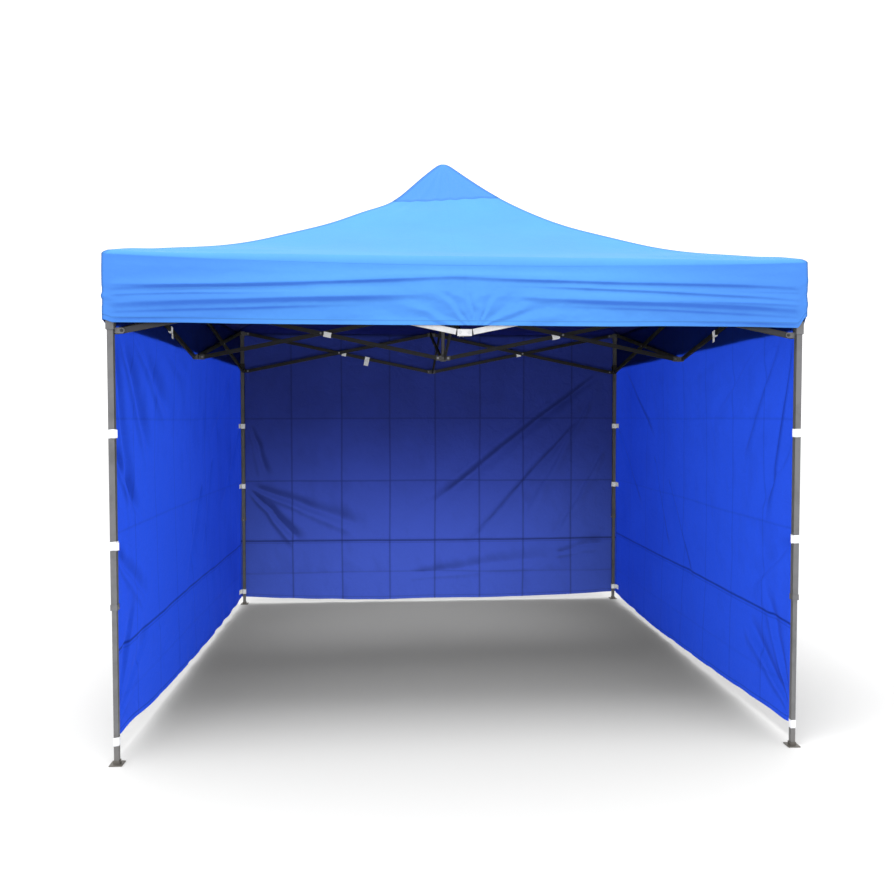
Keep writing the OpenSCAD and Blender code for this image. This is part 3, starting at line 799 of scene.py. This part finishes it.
def wall(side):
    """One side of the wrapped wall; run goes left to right seen from outside."""
    rear = side == 2
    # the open end of a side wall is level with the front legs; the other meets the rear wall
    start = -LEG_AXIS + 0.002 if side == 1 else -WALL_OUT
    end = LEG_AXIS - 0.002 if side == 3 else WALL_OUT
    uprights = REAR_UPRIGHTS if rear else SIDE_UPRIGHTS
    run_spots = [(-c if rear else c, 0.012, 0.004) for c in uprights]
    run_spots += [(start, 0.026, 0.004), (end, 0.026, 0.004)]
    level_spots = [(c, 0.012, 0.004) for c in LEVELS]
    level_spots += [(0.49, 0.055, 0.0026), (0.02, 0.02, 0.004)]
    run, level = np.meshgrid(graded(start, end, 0.0105, run_spots),
                             graded(0, WALL_TOP, 0.0105, level_spots))
    from_start, to_end = run - start, end - run
    span = np.minimum(from_start, to_end)
    open_end = from_start if side == 1 else to_end  # distance from a side wall's open end
    x = -run if rear else run  # world x on the rear wall
    # the rows below 0.36 close up to follow the lower edge
    hem = lower_edge(side, run, open_end)
    z = np.where(level < 0.36, hem + (0.36 - hem) * level / 0.36, level)

    # billow, then drape from broad to fine
    middle = np.sin(math.pi * np.clip(from_start / (end - start), 0, 1))
    out = 0.018 * middle * np.sin(math.pi * np.clip((z - 0.02) / 1.85, 0, 1))
    out += 0.012 * layered_noise(run * 0.8 + 3 * side, z * 0.7, 110 + side, 2)
    out += 0.0060 * layered_noise(run * 3.1 + side, z * 2.4, 115 + side)
    out += 0.0018 * layered_noise(run * 9 + 0.8 * z + side, z * 6 - run, 118 + side)
    if rear:
        out += pulled_folds(REAR_FOLDS, x, z, gain=2.0)
    else:
        out += pulled_folds(SIDE_FOLDS, open_end, z, gain=1.25)
    grid, crease_shade = packing_creases(side, run, x, z, uprights, gain=1.0 if rear else 0.35)
    out += grid
    # soft upright streaks where the cloth hangs from the truss
    streak = 0.0012 if rear else 0.0030
    out += streak * layered_noise(run * 5.5 + 0.5 * z, z * 0.8 + 7 * side, 120 + side)
    relief = out.copy()

    # the sewn band low on the wall
    seam_z = 0.490 + SEAM_RISE[side] + 0.004 * noise(run * 1.5, 0, 160 + side)
    out += 0.0022 * fade(np.abs(z - seam_z), 0.010, 0.016) + 0.004 * bell(z - seam_z + 0.03, 0.03)
    seam_and_shade = bell(z - seam_z, 0.0075 if rear else 0.0055) + 0.35 * bell(z - seam_z + 0.018, 0.003)
    # hem, its stitching, the stitching of the ends, ripples along the lower edge
    above = z - hem
    out += 0.0014 * fade(above, 0.020, 0.024)
    seam_and_shade += 0.5 * bell(above - 0.022, 0.003) + 0.4 * bell(span - 0.018, 0.003) * (above > 0.01)
    ripple = np.sin(run * 19 + 2 * noise(run * 2, 0, 170 + side))
    out += 0.006 * ripple * bell(above, 0.14) * ease(span, 0.04, 0.3)

    # held at the legs and under the roof's edge; never inboard of the legs
    hold = ease(span, 0.012, 0.16 if rear else 0.14)
    out = out * hold
    relief = relief * hold
    # slope of the relief, for the painted shade on the lee side of the folds
    slope_z = np.gradient(relief, axis=0) / np.gradient(z, axis=0)
    slope_run = np.gradient(relief, axis=1) / np.gradient(run, axis=1)
    slope = slope_z * 0.8 - slope_run * (0.6 if rear else 0.9)
    high = ease(z, 1.70, 1.86)
    out = out * (1 - high) + high * np.clip(out * 0.12, 0, 0.0016)
    least = 0.0008 * fade(z, 1.5, 1.65) * ease(span, 0.0, 0.05)
    out = np.where(out > least, out, least + (out - least) * 0.03)
    # the open end tucks in, a little more low down
    tuck = 0 if rear else (0.0055 + 0.0025 * fade(z, 0.58, 0.64)) * fade(open_end, 0.0, 0.05)

    # room for the foot plates, which pass the cloth when the legs are pushed up
    low = fade(z, 0.70, 0.86)
    room = np.zeros_like(z)
    moved = run.copy()
    for distance, is_open, inward in ((from_start, side == 1, 1), (to_end, side == 3, -1)):
        if is_open:
            moved += inward * 0.0275 * low * fade(distance, 0.0, 0.15)
        else:
            room = np.maximum(room, low * fade(distance, 0.07, 0.20))
            moved -= inward * FOOT_ROOM * low * fade(distance, 0.0, 0.10)

    # paler where light from the open front reaches: low on the rear, forward on the sides
    if rear:
        pale = 0.9 * fade(z + 0.12 * noise(run * 1.1, z * 1.3, 181), 0.10, 1.55)
    else:
        pale = 0.9 * fade(open_end + 0.15 * noise(run * 1.3, z * 1.1, 182), 0.2, 2.7)
        pale = pale * (1 - 0.6 * ease(z, 1.5, 2.1))
    # painted shade along the wall's top edge, in the shade under the roof
    seam_and_shade = seam_and_shade + 1.2 * ease(z, 2.100, 2.114)
    # painted shade on the lee side of the folds
    crease_shade = crease_shade + np.clip(-slope * (3.8 if rear else 2.6), 0, 0.9) * (1 - high)
    # the normal looks outward and the thickness goes inward
    points = np.stack([moved, -WALL_OUT - out - FOOT_ROOM * room + tuck, z], -1)
    uv = np.stack([run, z], -1)
    mask = np.stack([crease_shade, seam_and_shade, pale], -1)
    materials = [REAR_OUT, REAR] if rear else [WALLS_OUT, WALLS]
    name = "wall_" + SIDES[side]
    obj = sheet(name, turn(points, side), uv, mask, materials, thick=WALL_THICK)
    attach(obj, "mid_upper_" + SIDES[side])
    squash_side(obj, side, centre=0.077, keep=0.025)
    return obj


for side in (1, 2, 3):
    obj = wall(side)
    if side == 2:
        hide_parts("sidewall")


# ---------------------------------------------------------------- straps
# (height, half width of the leg's tube there)
STRAPS = [(1.40, 0.0130), (0.93, 0.0130), (0.100, 0.0105)]
TAIL_START = 0.014  # where the tail reaches the wall, past the tube's face
TAIL_END = 0.058
TAIL_STEP = 0.004


def loop_path(half):
    """Rounded square of the given half width, from the middle of its -X face and back."""
    radius, steps = 0.003, 4
    near, far = -half + radius, half - radius
    points = [(-half, 0.0)]
    for cx, cy, first in ((near, near, 180), (far, near, 270), (far, far, 0), (near, far, 90)):
        for i in range(steps + 1):
            angle = math.radians(first + 90 * i / steps)
            points.append((cx + radius * math.cos(angle), cy + radius * math.sin(angle)))
    points.append((-half, 0.0))
    return subdivide(points, step=0.004, fewest=1)


def strap(name, leg, height, half):
    """A band round a leg, its tail lying on the wall's inner face.

    Drawn for the front left leg with the side wall on its -X side.
    """
    # the rear legs' lowest tails reach out to the wall where it clears the foot plates
    wall_x = -0.0192 - (FOOT_ROOM if leg > 1 and height < 0.5 else 0.0)
    tail = [(-half - 0.003, half - 0.004), (-half - 0.0045, half + 0.004),
            (wall_x + 0.0004, half + TAIL_START)]
    tail += [(wall_x - 0.0004 * math.sin(i), half + TAIL_START + i * TAIL_STEP)
             for i in range(1, int((TAIL_END - TAIL_START) / TAIL_STEP))]
    # (part, path, half height, shift in height)
    parts = [("loop", loop_path(half + 0.0012), 0.0185, 0.0), ("tail", tail, 0.0165, 0.0015)]
    if leg < 2 and height > 0.5:
        # the free end lies across the leg's front and stands out on the inner side
        n = 9
        free_end = [(-0.004 + (half + 0.018) * i / n, -half - 0.0030 + 0.0016 * math.sin(i * 0.5))
                    for i in range(n + 1)]
        parts.append(("end", free_end, 0.0165, -0.001))
    for part, path, half_height, shift in parts:
        path = np.array(path, float)
        if leg in (1, 3):
            # turned legs 1 and 3 have the side wall on the drawn leg's -Y side
            path = path[:, ::-1].copy()
        flat = np.concatenate([path - LEG_AXIS, np.zeros((len(path), 1))], 1)
        path = turn(flat, leg)[:, :2]
        obj = ribbon(name + "_" + part, path, height - half_height + shift,
                     height + half_height + shift, seed=200 + leg)
        # even the lowest stays with the wall when the lower tube is pushed up through it
        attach(obj, "outer_leg_" + LEGS[leg])


for i, (height, half) in enumerate(STRAPS):
    for leg in range(4):
        strap("strap_%s_%d" % (LEGS[leg], i + 1), leg, height, half)


# (name, side, bar, distance along the bar, half width, length of the free end);
# bars a2 and a1 rise right and left from the side's middle, bar c outward from the hub
TIES = [
    ("roof_tie_left", 3, "a2", 0.520, 0.0135, 0.034),
    ("roof_tie_right", 1, "a1", 0.520, 0.0135, 0.034),
    ("roof_tie_rear_1", 2, "a2", 0.682, 0.017, 0.002),
    ("roof_tie_rear_2", 2, "a2", 0.497, 0.018, 0.040),
    ("roof_tie_rear_3", 2, "a1", 0.690, 0.017, 0.002),
    ("roof_tie_inner_left", 3, "c", 0.680, 0.023, 0.002),
    ("roof_tie_inner_right", 1, "c", 0.680, 0.023, 0.002),
]
TIE_Y, TIE_Z = 0.0088, 0.0148  # half sizes of the ring
# the free end: (share of its length, sideways drift)
TIE_END = [(0.24, 0.0006), (0.47, 0.002), (0.76, 0.0015), (1.0, 0.003)]


def bar_tie(name, side, bar, place, half_width, hang):
    """A hook-and-loop tie round a truss bar, with a short free end."""
    ring = [(TIE_Y, -TIE_Z), (TIE_Y, TIE_Z), (-TIE_Y, TIE_Z), (-TIE_Y, -TIE_Z), (TIE_Y, -TIE_Z)]
    path = subdivide(ring, step=0.003, fewest=2)
    path += [(TIE_Y + drift * min(1.0, hang / 0.03), -TIE_Z - hang * share)
             for share, drift in TIE_END]
    path = np.array(path)
    width, row = np.meshgrid(np.linspace(-half_width, half_width, 8), np.arange(len(path)))
    # x along the bar, y across it, z square to both
    x = place + width + 0.0008 * np.sin(row * 0.7 + width * 90)
    y, z = path[row, 0], path[row, 1]
    out = x * math.cos(SLOPE) - z * math.sin(SLOPE)
    height = LOWER_Z + x * math.sin(SLOPE) + z * math.cos(SLOPE)
    if bar == "c":
        points = np.stack([BAR_OFFSET + y, -HUB_PIVOT - out, height], -1)
        truss = "inner_truss"
    else:
        direction = 1 if bar == "a2" else -1
        face = -LEG_AXIS - BAR_OFFSET + y
        points = np.stack([direction * (MID_PIVOT + out), face, height], -1)
        truss = "truss"
    uv = np.stack([width, row * 0.003], -1)
    mask = np.zeros(points.shape)
    obj = sheet(name, turn(points, side), uv, mask, [TIE], thick=0.0008, inward=False)
    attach(obj, "%s_%s_bar_%s" % (truss, SIDES[side], bar))


for tie in TIES:
    bar_tie(*tie)


# ---------------------------------------------------------------- floor and world
def build_floor():
    material, tree = new_material("studio_floor")
    cloud = add(tree, "ShaderNodeTexNoise", {"Scale": 0.6, "Detail": 3.0}).outputs["Fac"]
    colour = mix(tree, cloud, (0.84, 0.84, 0.84), (0.87, 0.87, 0.87))
    inputs = {"Base Color": colour, "Roughness": 0.9, "Specular IOR Level": 0.1}
    surface = add(tree, "ShaderNodeBsdfPrincipled", inputs)
    add(tree, "ShaderNodeOutputMaterial", {0: surface.outputs[0]})
    half = 60
    corners = [(-half, -half, 0), (half, -half, 0), (half, half, 0), (-half, half, 0)]
    mesh = bpy.data.meshes.new("floor")
    mesh.from_pydata(corners, [], [(0, 1, 2, 3)])
    mesh.materials.append(material)
    floor = bpy.data.objects.new("floor", mesh)
    bpy.context.scene.collection.objects.link(floor)
    floor.location.z = -0.0005  # just under the feet


def build_world():
    world = bpy.data.worlds.new("studio")
    bpy.context.scene.world = world
    world.use_nodes = True
    background = world.node_tree.nodes["Background"]
    background.inputs["Color"].default_value = (1, 1, 1, 1)
    background.inputs["Strength"].default_value = 1.25


build_floor()
build_world()


# ---------------------------------------------------------------- lights and camera
def area_light(name, location, target, size, power):
    data = bpy.data.lights.new(name, "AREA")
    data.shape = "SQUARE"
    data.size = size
    data.energy = power
    light = bpy.data.objects.new(name, data)
    bpy.context.scene.collection.objects.link(light)
    light.location = location
    aim = Vector(target) - Vector(location)
    light.rotation_euler = aim.to_track_quat("-Z", "Y").to_euler()
    return light


area_light("key", location=(-1.0, -3.0, 9.0), target=(0, 0, 2.0), size=3.0, power=300.0)
# a narrow strip inside the front, aimed low at the rear wall
inner = area_light("inner_fill", location=(0.0, -1.15, 1.72), target=(-0.15, 1.5, 0.20),
                   size=2.6, power=5.2)
inner.data.shape = "RECTANGLE"
inner.data.size_y = 0.3
inner.data.spread = math.radians(52)
inner.visible_camera = False
inner.visible_glossy = False


def build_camera():
    data = bpy.data.cameras.new("camera")
    data.sensor_width = 36.0
    data.lens = 32.48
    data.clip_start = 0.05
    data.clip_end = 200.0
    camera = bpy.data.objects.new("camera", data)
    bpy.context.scene.collection.objects.link(camera)
    camera.location = (-0.3068, -4.9285, 1.4676)
    yaw, pitch = math.radians(-3.849), math.radians(-2.086)
    forward = Vector((-math.sin(yaw) * math.cos(pitch), math.cos(yaw) * math.cos(pitch),
                      math.sin(pitch)))
    camera.rotation_mode = "QUATERNION"
    camera.rotation_quaternion = forward.to_track_quat("-Z", "Y")
    bpy.context.scene.camera = camera


build_camera()

view = bpy.context.scene.view_settings
view.view_transform = "Standard"
view.look = "None"
view.exposure = 0.0
view.gamma = 1.0
